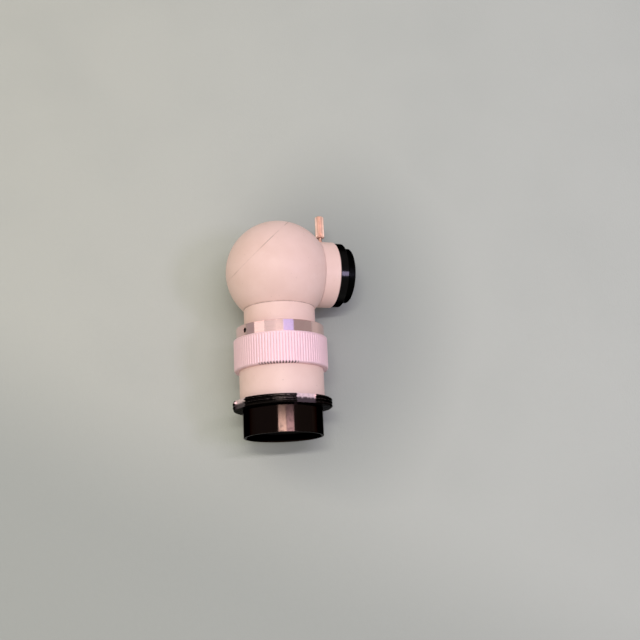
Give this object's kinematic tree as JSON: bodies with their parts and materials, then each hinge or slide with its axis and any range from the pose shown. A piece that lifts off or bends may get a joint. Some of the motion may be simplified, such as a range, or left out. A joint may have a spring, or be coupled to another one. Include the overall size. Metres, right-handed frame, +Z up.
{
  "type": "right-angle guide camera head",
  "caption": "Right-angle guide camera head: a split mirror ball with a side socket and lock screw, a knurled focus ring, a telescoping tube, a notched thread flange and a nosepiece.",
  "frame": {"origin": "on the tube's axis at the nosepiece's shoulder, which is the flange's lower face", "axes": "+Y up the tube to the ball, +Z up from the table it lies on, the side port out along +X and tipped down until its ring and the ball touch the table"},
  "size_m": [0.0849, 0.1486, 0.068],
  "materials": {
    "paint": "satin warm off-white paint",
    "polished_aluminium": "turned and polished",
    "knurled_aluminium": "satin, straight knurl",
    "worn_black": "black anodised thread, worn bright at the notches",
    "gloss_black": "gloss black",
    "black_metal": "matt black",
    "nickel": "nickel plated, ribbed head",
    "steel": "plain",
    "brass": "turned",
    "mirror": "front-silvered",
    "glass": "coated",
    "white_plastic": "plain"
  },
  "bodies": {
    "head": {"ball_body": "paint", "ball_cap": "paint", "mirror_cell": "black_metal", "cell_screws": "steel", "mirror": "mirror", "mirror_clips": "black_metal", "clip_screws": "steel", "neck_tube": "paint", "light_baffle": "black_metal", "stop_ring": "polished_aluminium", "stop_ring_screws": "black_metal", "slip_washer_upper": "white_plastic", "slip_washer_lower": "white_plastic", "ring_retainer": "black_metal", "port_collar": "paint", "port_lock_ring": "gloss_black", "socket_sleeve": "gloss_black"},
    "focus_ring": {"focus_ring": "knurled_aluminium"},
    "focus_tube": {"focus_tube": "paint", "guide_screw": "steel", "thread_flange": "worn_black", "nosepiece": "gloss_black", "lens_cell": "black_metal", "lens_crown": "glass", "lens_spacer": "black_metal", "lens_flint": "glass", "lens_ring": "black_metal"},
    "lock_tip": {"lock_tip": "brass"},
    "lock_screw": {"lock_screw": "nickel"}
  },
  "joints": [
    {"name": "focus_ring_turn", "type": "hinge", "parent": "head", "child": "focus_ring", "pos_m": [0, 0.0378, 0], "axis": [0, 1, 0], "range_deg": [-180, 180]},
    {"name": "focus_slide", "type": "slide", "parent": "head", "child": "focus_tube", "axis": [0, -1, 0], "range_m": [-0.004, 0.004]},
    {"name": "lock_tip_slide", "type": "slide", "parent": "head", "child": "lock_tip", "axis": [0, -1, 0], "range_m": [-0.00068, 0.00068]},
    {"name": "lock_screw_turn", "type": "hinge", "parent": "lock_tip", "child": "lock_screw", "pos_m": [0.02861, 0.11854, -0.00997], "axis": [0, -1, 0], "range_deg": [-540, 540]}
  ],
  "couplings": [
    {"joint": "focus_slide", "follows": "focus_ring_turn", "m_per_rad": 0.001273},
    {"joint": "lock_screw_turn", "follows": "lock_tip_slide", "rad_per_m": 13963}
  ]
}
